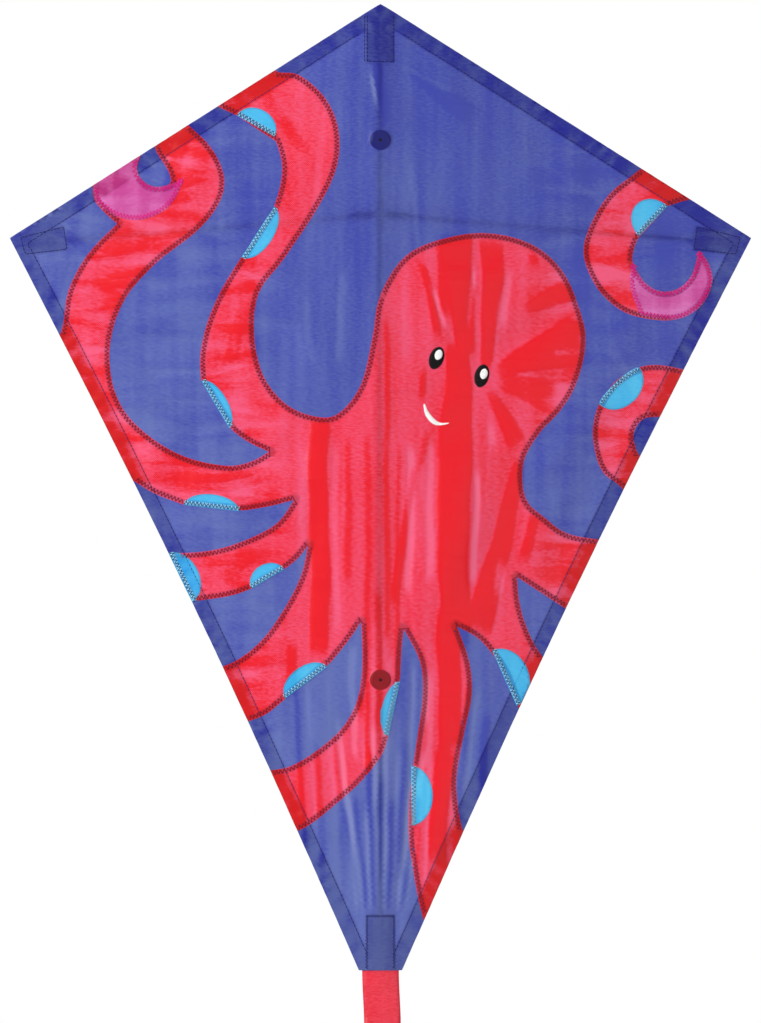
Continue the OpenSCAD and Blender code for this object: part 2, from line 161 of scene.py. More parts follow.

# Folds that the cloth has taken. For each: s and the height above the foot of its one end, the same of its
# other end, its width at each end, and its strength. Above 0 a fold is deeper in colour, as painted shade,
# and below 0 paler, as painted sheen.
FOLDS = [
    # head
    (60, 586, 67, 480, 26, 13, 1.0), (62, 500, 58, 400, 16, 28, 1.0), (88, 582, 84, 468, 20, 8, 0.9),
    (118, 574, 125, 550, 4, 9, 0.8), (88, 470, 164, 500, 8, 44, 0.9), (90, 464, 144, 452, 10, 30, 0.8),
    (110, 520, 158, 542, 6, 22, 0.7), (83, 462, 112, 408, 6, 17, 0.8), (31, 564, 46, 494, 6, 6, 0.8),
    (34, 480, 33, 444, 4, 5, 0.9), (74, 560, 68, 500, 5, 4, -0.9), (38, 545, 52, 500, 4, 4, -0.9),
    (102, 560, 96, 500, 5, 8, -0.5), (22, 560, 20, 470, 6, 8, -0.25), (86, 440, 90, 405, 4, 8, -0.5),
    # body
    (58, 415, 57, 246, 26, 22, 1.0), (50, 584, 52, 510, 16, 12, 0.7), (-48, 440, -48, 244, 15, 14, 1.0),
    (112, 408, 76, 262, 8, 24, 0.85), (122, 364, 114, 316, 7, 9, 0.8), (26, 402, 10, 284, 4, 7, 0.7),
    (38, 430, 28, 388, 6, 4, 0.6), (5, 520, 5, 255, 4, 4, 0.6), (14, 420, 12, 200, 3, 3, 0.5),
    (-9, 430, -11, 150, 5, 3, 0.5), (-26, 428, -25, 300, 5, 6, 0.45), (76, 400, 73, 300, 4, 5, -0.9),
    (24, 420, 22, 290, 6, 6, -0.6), (-36, 420, -35, 260, 6, 6, -0.35), (40, 425, 38, 300, 5, 7, -0.5),
    (96, 330, 92, 290, 8, 7, -0.7), (-62, 420, -60, 300, 7, 5, -0.3),
    # arms
    (54, 290, 54, 170, 18, 17, 0.95), (53, 180, 42, 80, 16, 13, 0.9), (-70, 264, -71, 210, 8, 7, 0.8),
    (-110, 340, -70, 350, 6, 6, 0.4), (-120, 318, -92, 326, 7, 5, 0.5), (-128, 176, -74, 196, 8, 5, 0.5),
    (34, 240, 36, 190, 6, 6, -0.7), (-150, 690, -172, 600, 8, 12, 0.5), (-96, 700, -58, 640, 10, 8, 0.4),
    (-104, 530, -122, 470, 12, 9, 0.4), (-232, 640, -262, 520, 7, 10, 0.3),
    # blue cloth
    (-2, 720, 4.5, 664, 8, 3, 1.0), (-8, 716, -2, 676, 4, 3, -0.9), (15, 716, 78, 670, 6, 18, 0.45),
    (12, 716, 60, 690, 4, 5, -0.6), (-40, 700, -58, 560, 4, 7, -0.25), (30, 560, 24, 640, 4, 5, -0.3),
    (120, 640, 190, 600, 6, 5, -0.25), (180, 500, 215, 440, 7, 9, -0.3),
    (-30, 560, -32, 470, 6, 8, -0.35), (-60, 540, -52, 470, 5, 6, -0.3),
    (-268, 590, -215, 560, 5, 12, 0.5), (-258, 600, -208, 590, 3, 6, -0.3),
]

for k in range(FANNED_FOLDS):
    x = -128 + 8.6 * k + rng.uniform(-3, 3)
    top = 300 - 1.1 * abs(x) + rng.uniform(-70, 20)
    low = max(46, top - rng.uniform(90, 210))
    strength = rng.uniform(0.35, 0.8) * (1 if k % 2 else -0.8)
    FOLDS.append((x, top, x * 0.85, low, rng.uniform(3, 8), rng.uniform(2, 5), strength))

for k in range(FOOT_FOLDS):
    x = -35 + 5 * k + rng.uniform(-1, 1)
    strength = rng.uniform(0.6, 1.1) * (1 if k % 2 else -1)
    FOLDS.append((x, rng.uniform(130, 215), x * 0.5, 40, rng.uniform(4, 6), 3.2, strength))


def rim_distance(s, z):
    """Distance from the leading and trailing edges, and how far along them, both in mm."""
    best, at = 1e9 + 0 * s, 0 * s
    corners = [(0, NOSE_Z), (HALF_SPAN, TIP_Z), (FOOT_HALF, FOOT_Z)]
    for (s0, z0), (s1, z1) in zip(corners, corners[1:]):
        length = math.hypot(s1 - s0, z1 - z0)
        along = ((np.abs(s) - s0) * (s1 - s0) + (z - z0) * (z1 - z0)) / length
        away = np.abs((np.abs(s) - s0) * (z1 - z0) - (z - z0) * (s1 - s0)) / length
        at = np.where(away < best, along + 0.4 * s0, at)
        best = np.minimum(best, away)
    return best, at


def hem_puckers(s, z):
    """Short uneven creases across the hems."""
    away, along = rim_distance(s, z)
    wave = np.sin(along / 2.3 + 2.2 * np.sin(along / 11) + 0.12 * away)
    wave = wave * (0.6 + 0.4 * np.sin(along / 37 + 2))
    return wave * smooth((HEM_W + 4 - away) / 5)


def fold_shares(s, z):
    """How much deeper (above 0, as painted shade) or paler (below 0, as painted sheen) the cloth's colour is, from
    the folds in FOLDS.
    """
    total = 0 * s
    for s0, h0, s1, h1, width0, width1, strength in FOLDS:
        a = np.array([s0, h0 + FOOT_Z])
        d = np.array([s1, h1 + FOOT_Z]) - a
        length = np.hypot(*d)
        along = ((s - a[0]) * d[0] + (z - a[1]) * d[1]) / length
        across = ((s - a[0]) * d[1] - (z - a[1]) * d[0]) / length
        t = along / length
        half = (width0 + (width1 - width0) * np.clip(t, 0, 1)) / 2
        bend = (1.1 * np.sin(along / 23 + s0) + 0.6 * np.sin(along / 9 + h0)) * min(1, width0 / 8)
        body = smooth((half - np.abs(across + bend) + 1.4) / 2.8)
        ends = smooth(along / 16) * smooth((length - along) / 16)
        total = total + strength * body * ends
    # the creases across the hems, as painted shade and sheen and in relief
    total = total + HEM_PUCKERS * hem_puckers(s, z)
    # painted shade inside the dark bridle patches behind the cloth
    for spot in PATCH_Z.values():
        total = np.where(np.hypot(s, z - spot) < PATCH_R, PATCH_SHARE, total)
    return total


def comb(s, z):
    """Fine upright folds in the lower half."""
    below = smooth((-120 - z) / 260)
    fine = np.sin(s / 2.9 + 1.3 * np.sin(z / 70)) * 0.5 + np.sin(s / 6.3 + z / 240 + 1)
    return fine * below * np.exp(-((np.abs(s) - 35) / 55) ** 2)


# The simulated cloth: the step and the lower left corner of its square grid, its slack, how far its seams
# are gathered, how many frames it hangs for, and how much deeper its smoothed gathers are drawn.
SIM_STEP = 7.0
SIM_LOW = (-301, -665)
SLACK = 0.006
GATHER = 0.012
SIM_FRAMES = 45
SIM_SHARE = 1.9
sim_heights = None     # how far the simulated cloth stands back, in mm, at the points of its grid


def relief(s, z):
    """How far the cloth stands back from its flat wing, in mm."""
    s, z = np.broadcast_arrays(np.asarray(s, float), np.asarray(z, float))
    keep = smooth(np.abs(s) / 14)
    folds = -FOLD_RISE * np.clip(fold_shares(s, z), -FOLD_LIMIT, FOLD_LIMIT)
    out = folds * keep + COMB_RISE * comb(s, z) * keep
    if sim_heights is not None:
        i = np.clip((s - SIM_LOW[0]) / SIM_STEP, 0, sim_heights.shape[0] - 1.001)
        j = np.clip((z - SIM_LOW[1]) / SIM_STEP, 0, sim_heights.shape[1] - 1.001)
        a, b = i.astype(int), j.astype(int)
        p, q = smooth(i - a), smooth(j - b)
        low = sim_heights[a, b] * (1 - p) + sim_heights[a + 1, b] * p
        high = sim_heights[a, b + 1] * (1 - p) + sim_heights[a + 1, b + 1] * p
        out = out + low * (1 - q) + high * q
    return np.minimum(out, 1.0)


def surface(s, z, lift=0.0):
    """Points of the row frame, in metres, for cloth coordinates that lie lift in front of the sail."""
    s, z, lift = np.broadcast_arrays(*(np.asarray(v, float) for v in (s, z, lift)))
    u = np.abs(s)
    depth = CLOTH_DEPTH + relief(s, z) - lift
    angle = SWEEP * smooth(u / BEND)
    x = np.sign(s) * (u * np.cos(angle) - depth * np.sin(angle))
    y = u * np.sin(angle) + depth * np.cos(angle) + AXIS_Y
    return np.stack([x, y, z], axis=-1) * MM


# ---- Flat outlines ----


def sail_outline(side):
    """Half of the sail's edge, from the nose to the foot, then up the fold line."""
    steps = np.linspace(0, 1, 49)
    s = HALF_SPAN + (FOOT_HALF - HALF_SPAN) * steps - EDGE_BOW * np.sin(np.pi * steps)
    z = TIP_Z + (FOOT_Z - TIP_Z) * steps
    leading = np.linspace([0, NOSE_Z], [HALF_SPAN, TIP_Z], 40)[:-1]
    return np.concatenate([leading, np.stack([s, z], 1), [[0, FOOT_Z]]]) * [side, 1]


def fill_centre(points, side):
    """Runs an outline out to the fold line, where the CAD keeps the wings clear of the spine's pieces."""
    out = []
    for s, z in points:
        near_patch = min(math.hypot(s, z - c) for c in PATCH_Z.values()) < PATCH_R + 0.7
        near_foot = z < FOOT_POCKET_Z + 1 and abs(s) < POCKET_HALF + 0.7
        near_nose = z > NOSE_POCKET_Z - 1 and abs(s) < POCKET_HALF + 0.7
        if near_nose and z > NOSE_POCKET_Z + 2:
            s, z = 0, NOSE_Z
        elif abs(s) < 0.7 or near_patch or near_foot or near_nose:
            s = 0
        if not out or math.hypot(s - out[-1][0], z - out[-1][1]) > 0.02:
            out.append((s, z))
    return np.array(out)


def loops(node):
    """The outlines of a CAD panel's front, as closed lines with the cloth on their left."""
    side = side_of(node)
    mesh = NODES[node].data
    c, si = math.cos(SWEEP), math.sin(SWEEP)
    place = {}
    for v in mesh.vertices:
        x, y = v.co.x / MM * side, v.co.y / MM - AXIS_Y
        place[v.index] = ((x * c + y * si) * side, v.co.z / MM, -x * si + y * c)
    front_depth = min(p[2] for p in place.values())
    key = {i: tuple(round(k, 6) for k in mesh.vertices[i].co) for i in place}
    at = {key[i]: place[i][:2] for i in place}
    edges = {}
    for p in mesh.polygons:
        if all(place[i][2] < front_depth + 0.1 for i in p.vertices):
            ring = [key[i] for i in p.vertices]
            for a, b in zip(ring, ring[1:] + ring[:1]):
                if edges.get((b, a)):
                    edges[b, a] -= 1
                elif a != b:
                    edges[a, b] = edges.get((a, b), 0) + 1
    following = {a: b for (a, b), n in edges.items() if n}
    found = []
    while following:
        start = min(following)
        ring, nxt = [start], following.pop(start)
        while nxt in following:
            ring.append(nxt)
            nxt = following.pop(nxt)
        found.append(fill_centre([at[k] for k in ring], side))
    return [f for f in found if len(f) > 2]


def rings_of(nodes):
    """The outlines of several panels."""
    return [ring for node in nodes for ring in loops(node)]


def segments(rings):
    a = np.concatenate(rings)
    b = np.concatenate([np.roll(r, -1, 0) for r in rings])
    return a, b


def inside(points, rings):
    """Whether each point is inside the rings, by the even-odd rule."""
    a, b = segments(rings)
    x, y = points[:, :1], points[:, 1:]
    crosses = (a[:, 1] > y) != (b[:, 1] > y)
    rise = np.where(b[:, 1] == a[:, 1], 1, b[:, 1] - a[:, 1])
    return (crosses & (x < a[:, 0] + (y - a[:, 1]) / rise * (b[:, 0] - a[:, 0]))).sum(1) % 2 == 1


def covered(points, rings):
    """Whether each point is inside any of the rings."""
    return np.any([inside(points, [ring]) for ring in rings], axis=0)


def distance(points, rings):
    """Each point's distance from the nearest side of the rings."""
    a, b = segments(rings)
    d = b - a
    best = np.full(len(points), 1e9)
    for i in range(0, len(points), 2000):
        p = points[i : i + 2000, None, :]
        t = np.clip(((p - a) * d).sum(-1) / np.maximum((d * d).sum(-1), 1e-12), 0, 1)
        best[i : i + 2000] = np.linalg.norm(a + t[..., None] * d - p, axis=-1).min(1)
    return best


def refine(ring, step):
    """The same closed line, with no stretch longer than step."""
    out = []
    for p, q in zip(ring, np.roll(ring, -1, 0)):
        n = max(1, int(np.ceil(np.linalg.norm(q - p) / step)))
        out += [p + (q - p) * k / n for k in range(n)]
    return np.array(out)


def circle(cx, cz, r, n=24):
    a = np.linspace(0, 2 * np.pi, n, endpoint=False)
    return np.stack([cx + r * np.cos(a), cz + r * np.sin(a)], 1)


def inset_polygon(ring, by):
    """A polygon drawn in from a ring that turns clockwise or anticlockwise, side by side."""
    turn = np.sign((ring[:, 0] * np.roll(ring[:, 1], -1) - np.roll(ring[:, 0], -1) * ring[:, 1]).sum())
    d = np.roll(ring, -1, 0) - ring
    n = np.stack([-d[:, 1], d[:, 0]], 1) / np.linalg.norm(d, axis=1)[:, None] * turn
    out = []
    for i in range(len(ring)):
        n0, n1 = n[i - 1], n[i]
        m = n0 + n1
        out.append(ring[i] + m / max(m @ n0, 0.2) * by)
    return np.array(out)


def triangulate(rings, cuts, keep, step=GRID):
    """Points and triangles that fill where keep(points) holds, with edges along the rings and cuts."""
    lines = [refine(r, step) for r in [*rings, *cuts]]
    low, high = np.concatenate(rings).min(0), np.concatenate(rings).max(0)
    rows = np.arange(low[1], high[1], step * 0.866)
    lattice = []
    for i, z in enumerate(rows):
        across = np.arange(low[0] + (i % 2) * step / 2, high[0], step)
        lattice.append(np.stack([across, np.full(len(across), z)], 1))
    lattice = np.concatenate(lattice)
    lattice = lattice[inside(lattice, rings)]
    lattice = lattice[distance(lattice, [*rings, *cuts]) > step * 0.5]
    verts = np.concatenate([*lines, lattice])
    edges, base = [], 0
    for line in lines:
        n = len(line)
        edges += [(base + k, base + (k + 1) % n) for k in range(n)]
        base += n
    out = delaunay_2d_cdt([Vector(v) for v in verts], edges, [], 0, 1e-4)
    points = np.array([tuple(v) for v in out[0]])
    faces = np.array([f for f in out[2] if len(f) == 3])
    centre = points[faces].mean(1)
    faces = faces[keep(centre)]
    used = np.unique(faces)
    number = np.full(len(points), -1)
    number[used] = np.arange(len(used))
    return points[used], number[faces]


# ---- Meshes ----


def add_object(name, data):
    obj = bpy.data.objects.new(name, data)
    bpy.context.scene.collection.objects.link(obj)
    return obj


def make_mesh(name, verts, faces, material, flat_at=None, lie_share=1.0, hem_shade=0.0):
    """A mesh object. flat_at gives each point's cloth coordinates, for the weave and the folds' painted shade and
    sheen.

    lie_share is how strongly it shows the folds' painted shade and sheen, and hem_shade how much deeper its
    painted shade is in front of a hem.
    """
    mesh = bpy.data.meshes.new(name)
    mesh.from_pydata([tuple(v) for v in verts], [], [tuple(int(i) for i in f) for f in faces])
    mesh.update()
    if flat_at is not None:
        flat = np.asarray(flat_at, float)
        s, z = flat[:, 0], flat[:, 1]
        corner = np.zeros(len(mesh.loops), int)
        mesh.loops.foreach_get("vertex_index", corner)
        layer = mesh.uv_layers.new(name="cloth")
        layer.data.foreach_set("uv", (flat[corner] * MM).astype(np.float32).ravel())
        shares = fold_shares(s, z) * lie_share
        # painted shade in front of a hem, where the doubled cloth lets less light through
        if hem_shade:
            shares = shares + hem_shade * smooth((HEM_W + 1.5 - rim_distance(s, z)[0]) / 3)
        lie = mesh.attributes.new("lie", "FLOAT", "POINT")
        lie.data.foreach_set("value", shares.astype(np.float32))
    mesh.polygons.foreach_set("use_smooth", [True] * len(mesh.polygons))
    mesh.materials.append(material)
    return add_object(name, mesh)


def grid_faces(rows, columns):
    """The faces of a grid whose points are listed row by row."""
    corners = [r * columns + c for r in range(rows - 1) for c in range(columns - 1)]
    return [(k, k + 1, k + columns + 1, k + columns) for k in corners]


def facing_front(points, faces):
    """Turns every triangle so that its front faces the viewer, in cloth coordinates."""
    p = points[faces]
    a, b = p[:, 1] - p[:, 0], p[:, 2] - p[:, 0]
    flip = a[:, 0] * b[:, 1] - a[:, 1] * b[:, 0] < 0
    faces = faces.copy()
    faces[flip] = faces[flip][:, ::-1]
    return faces


def on_wing(piece):
    """Bakes a piece's transform into its points."""
    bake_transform(piece)


# ---- Materials ----


def srgb(text):
    """Linear colour of a hex code."""
    c = [int(text[i : i + 2], 16) / 255 for i in (1, 3, 5)]
    return [v / 12.92 if v <= 0.04045 else ((v + 0.055) / 1.055) ** 2.4 for v in c] + [1]


class Tree:
    """A short way to write the nodes of a material, or of the world."""

    def __init__(self, owner, kind="OutputMaterial"):
        self.owner = owner
        owner.use_nodes = True
        self.tree = owner.node_tree
        self.tree.nodes.clear()
        self.out = self.node(kind)

    def node(self, kind, settings=None, **inputs):
        n = self.tree.nodes.new("ShaderNode" + kind)
        for k, v in (settings or {}).items():
            setattr(n, k, v)
        for k, v in inputs.items():
            self.put(n, k.replace("_", " "), v)
        return n

    def put(self, n, key, value):
        """Sets or links one input, which key gives by its name, or by i and its number."""
        socket = n.inputs[int(key[1:])] if key[0] == "i" and key[1:].isdigit() else n.inputs[key]
        if isinstance(value, bpy.types.Node):
            value = value.outputs[0]
        if isinstance(value, bpy.types.NodeSocket):
            self.tree.links.new(value, socket)
        else:
            socket.default_value = value

    def maths(self, how, a, b=0.0):
        return self.node("Math", {"operation": how}, i0=a, i1=b)

    def plus(self, a, b):
        return self.maths("ADD", a, b)

    def less(self, a, b):
        return self.maths("SUBTRACT", a, b)

    def times(self, a, b):
        return self.maths("MULTIPLY", a, b)

    def mix(self, share, a, b):
        return self.node("Mix", {"data_type": "RGBA"}, i0=share, i6=a, i7=b).outputs[2]

    def ramp(self, value, low, high):
        return self.node("MapRange", i0=value, i1=low, i2=high)

    def noise(self, where, scale, detail, turn=0.0, **more):
        """Noise at coordinates that are scaled, by one number or by one for each axis, and turned."""
        if isinstance(scale, tuple):
            where = self.node("Mapping", Vector=where, Scale=scale, Rotation=(0, 0, turn))
            scale = 1
        return self.node("TexNoise", Vector=where, Scale=scale, Detail=detail, **more)

    def bump(self, height, strength, reach, **more):
        return self.node("Bump", Height=height, Strength=strength, Distance=reach, **more)

    def finish(self, shader):
        self.put(self.out, "Surface", shader)
        return self.owner


def cloth_material(name, plain, sheen, through, sheen_streaks=0.3, see=0.42, pitch=0.0017, depth=0.8, paler_low_left=0.0,
                   crumple=0.3, grain=0.3, tilt=0.0, glare=None, dark="#100c2c"):
    """Thin satin cloth. sheen is the colour of its painted sheen, where it catches light, and through where light
    comes through.

    glare is its palest colour, a painted highlight along the crests of folds, and dark the painted shade of a
    patch that shows through it.
    """
    t = Tree(bpy.data.materials.new(name))
    coords = t.node("UVMap", {"uv_map": "cloth"})
    parts = t.node("SeparateXYZ", Vector=coords)
    s, z = parts.outputs[0], parts.outputs[1]
    lie = t.node("Attribute", {"attribute_name": "lie"}).outputs["Fac"]
    turns = 2 * math.pi / pitch
    weave = t.times(t.maths("SINE", t.times(s, turns)), t.maths("SINE", t.times(z, turns)))
    sheen_streak = t.noise(coords, (75, 5, 1), 3, Roughness=0.5)
    creases = t.noise(coords, (16, 70, 1), 2.5, tilt, Distortion=0.5)
    twill = t.noise(coords, (240, 720, 1), 2, 0.9, Roughness=0.6)
    broad = t.noise(coords, 14, 2)

    # how much of the painted sheen shows: stretched noise, broad patches, weave and grain, less the painted shade
    # of creases and folds
    share = t.times(t.ramp(sheen_streak, 0.36, 0.66), sheen_streaks)
    share = t.plus(share, t.times(t.ramp(broad, 0.35, 0.7), 0.25))
    share = t.plus(share, t.times(weave, grain * 0.5))
    share = t.plus(share, t.times(t.ramp(twill, 0.35, 0.65), grain))
    off_spine = t.ramp(t.maths("ABSOLUTE", t.less(s, 0.02)), 0.085, 0.125)
    # painted shade on one side of each crease and painted sheen on the other, kept off the spine; crumple sets its
    # strength
    crease_shade_and_sheen = t.less(t.ramp(creases, 0.5, 0.62), t.ramp(creases, 0.46, 0.36))
    share = t.less(share, t.times(crease_shade_and_sheen, t.times(off_spine, crumple)))
    # paler towards the lower left: more of the sheen colour is mixed in there
    low_left = t.less(t.times(s, -0.55), t.times(z, 0.62))
    share = t.plus(share, t.times(t.less(low_left, 0.14), paler_low_left))
    # painted shade where the lie attribute is above 0 (folds, hems, patches behind) and painted sheen where it is
    # below 0, scaled by depth
    share = t.less(share, t.times(lie, depth))
    share = t.node("Clamp", i0=share)

    colour = t.mix(share, srgb(plain), srgb(sheen))
    # painted highlight on the crests of folds, in the glare colour
    if glare:
        crest_highlight = t.times(t.ramp(lie, -0.25, -1.1), 0.55)
        colour = t.mix(crest_highlight, colour, srgb(glare))
    # painted shade where a dark patch behind the cloth blocks the light through it
    shadow = t.times(t.ramp(lie, 2.0, 3.0), 0.6)
    colour = t.mix(shadow, colour, srgb(dark))
    through_colour = t.mix(shadow, t.mix(share, srgb(through), srgb(sheen)), srgb(dark))
    rough = t.plus(t.times(t.ramp(broad, 0.0, 1.0), 0.16), 0.4)
    puckers = t.bump(creases, 0.6, 0.0035)
    bump = t.bump(t.plus(t.times(weave, 0.6), twill), 0.5, 0.0002, Normal=puckers)
    face = t.node("BsdfPrincipled", Base_Color=colour, Roughness=rough, Normal=bump, Sheen_Weight=0.12,
                  Specular_IOR_Level=0.4)
    back = t.node("BsdfTranslucent", Color=through_colour)
    return t.finish(t.node("MixShader", i0=see, i1=face, i2=back))


def thread_material(name, colour, dark):
    """Twisted sewing thread."""
    t = Tree(bpy.data.materials.new(name))
    twist = t.noise(t.node("TexCoord").outputs["Object"], 1800, 2)
    tone = t.mix(t.ramp(twist, 0.35, 0.65), srgb(dark), srgb(colour))
    bump = t.bump(twist, 0.4, 0.0001)
    skin = t.node("BsdfPrincipled", Base_Color=tone, Roughness=0.6, Normal=bump, Specular_IOR_Level=0.25)
    return t.finish(skin)


def hard_material(name, colour, worn, rough, grain_scale=(400, 400, 25), grain=0.3):
    """Rod or soft vinyl: a dark skin with fine grain along it and lighter scuffs."""
    t = Tree(bpy.data.materials.new(name))
    place = t.node("TexCoord").outputs["Object"]
    lines = t.noise(place, grain_scale, 4)
    scuffs = t.noise(place, 60, 4)
    share = t.times(t.ramp(scuffs, 0.52, 0.75), 0.5)
    share = t.plus(share, t.times(t.ramp(lines, 0.4, 0.7), 0.3))
    tone = t.mix(share, srgb(colour), srgb(worn))
    bump = t.bump(lines, grain, 0.0002)
    rough = t.plus(t.times(lines, 0.2), rough)
    return t.finish(t.node("BsdfPrincipled", Base_Color=tone, Roughness=rough, Normal=bump))


# each cloth's sheen and glare are its painted sheen and highlight colours, and dark the painted shade of a patch
# behind it
BLUE = cloth_material("blue cloth", "#1a1e9c", "#606fb4", "#5c6cc2", sheen_streaks=0.4, paler_low_left=1.4, crumple=0.2,
                      grain=0.4, tilt=0.5, glare="#9ca2d8", dark="#161a70")
RED = cloth_material("red cloth", "#e4000e", "#f4587e", "#ff1834", depth=0.9, crumple=0.55, grain=0.45,
                     glare="#ff8ca6", dark="#6c0620")
# a darker copy of the red cloth: painted shade on its turned hems
SHADED_RED_HEM = cloth_material("shaded red hem cloth", "#a00414", "#c8304a", "#a80a1c", crumple=0.4)
CYAN = cloth_material("cyan cloth", "#1c9ee0", "#5ccaf4", "#50ccfa", crumple=0.1)
MAGENTA = cloth_material("magenta cloth", "#b8267e", "#e078be", "#e462b8", sheen_streaks=0.5)
POCKET = cloth_material("pocket cloth", "#16187e", "#2a2f94", "#22278c", sheen_streaks=0.2, see=0.1)
PATCH = cloth_material("patch cloth", "#0c0d1c", "#161828", "#181a30", sheen_streaks=0.1, see=0.02)
RIBBON = cloth_material("ribbon", "#dc0e28", "#f2465e", "#fc3a54", sheen_streaks=0.2, see=0.3, pitch=0.0019,
                        crumple=0, grain=0.6)
RED_THREAD = thread_material("red thread", "#960e34", "#5c0820")
MAGENTA_THREAD = thread_material("magenta thread", "#f0088a", "#cc0472")
CYAN_THREAD = thread_material("pale thread", "#c4f0ff", "#8cd8f6")
DOT_THREAD = thread_material("steel blue thread", "#1c5a94", "#0c3460")
NAVY_THREAD = thread_material("navy thread", "#201d74", "#12104a")
BLACK_THREAD = thread_material("black thread", "#101012", "#030304")
WHITE_THREAD = thread_material("white thread", "#ffffff", "#f4f4f2")
ROD = hard_material("glass fibre rod", "#101012", "#3c3c40", 0.32)
VINYL = hard_material("soft vinyl", "#0d0d0f", "#2b2b2e", 0.4, (300, 300, 300), 0.15)

# ---- Camera, light and floor ----

VIEW_H = 807.1 * MM    # the height of what the camera sees of the kite's plane
VIEW_Z = -293.2 * MM   # the height of its middle
CAMERA_AWAY = 5.0
SENSOR = 36            # the width of the camera's sensor, in mm
FLOOR_R = 1.7


def make_camera():
    data = bpy.data.cameras.new("camera")
    data.sensor_width = SENSOR
    data.lens = SENSOR * CAMERA_AWAY / VIEW_H
    camera = add_object("camera", data)
    camera.location = (0, -CAMERA_AWAY, VIEW_Z)
    camera.rotation_euler = (math.pi / 2, 0, 0)
    bpy.context.scene.camera = camera


def add_lamp(name, place, size, power):
    """A square lamp that faces the view's middle."""
    data = bpy.data.lights.new(name, "AREA")
    data.size = size
    data.energy = power
    lamp = add_object(name, data)
    lamp.location = place
    lamp.rotation_euler = (Vector((0, 0, VIEW_Z)) - Vector(place)).to_track_quat("-Z", "Y").to_euler()


def make_world(shown, lit):
    """A white surround: shown is its brightness in view, lit how much light it gives."""
    t = Tree(bpy.data.worlds.new("surround"), "OutputWorld")
    in_view = t.node("LightPath").outputs["Is Camera Ray"]
    strength = t.node("MapRange", i0=in_view, To_Min=lit, To_Max=shown)
    bpy.context.scene.world = t.finish(t.node("Background", Color=(1, 1, 1, 1), Strength=strength))


def make_floor():
    """A pale round floor that fades out into the surround."""
    t = Tree(bpy.data.materials.new("floor"))
    place = t.node("TexCoord").outputs["Object"]
    far = t.node("VectorMath", {"operation": "LENGTH"}, i0=place).outputs["Value"]
    skin = t.node("BsdfDiffuse", Color=(0.86, 0.86, 0.86, 1))
    t.finish(t.node("MixShader", i0=t.ramp(far, 0.5, 1.6), i1=skin, i2=t.node("BsdfTransparent")))
    ring = [(x, y, 0) for x, y in circle(0, 0, FLOOR_R, 64)]
    floor = make_mesh("floor", ring, [range(64)], t.owner)
    floor.location.z = cad_low[2] - 0.12


make_camera()
make_world(1.0, 0.4)
add_lamp("key", (-2.6, -1.3, 1.0), 1.0, 96)
add_lamp("fill", (1.6, -2.4, -0.2), 2.0, 34)
add_lamp("back", (0.5, 2.4, 0.6), 2.4, 28)
make_floor()
bpy.context.scene.view_settings.view_transform = "Standard"

# ---- Cloth pieces ----

holes = [circle(0, z, HOLE_R) for z in PATCH_Z.values()]
patch_rims = [circle(0, z, PATCH_R + out, 48) for z in PATCH_Z.values() for out in (-0.15, 0.15)]
edge = np.concatenate([sail_outline(1)[:-1], sail_outline(-1)[-2:0:-1]])
hem_line = inset_polygon(edge, HEM_W)


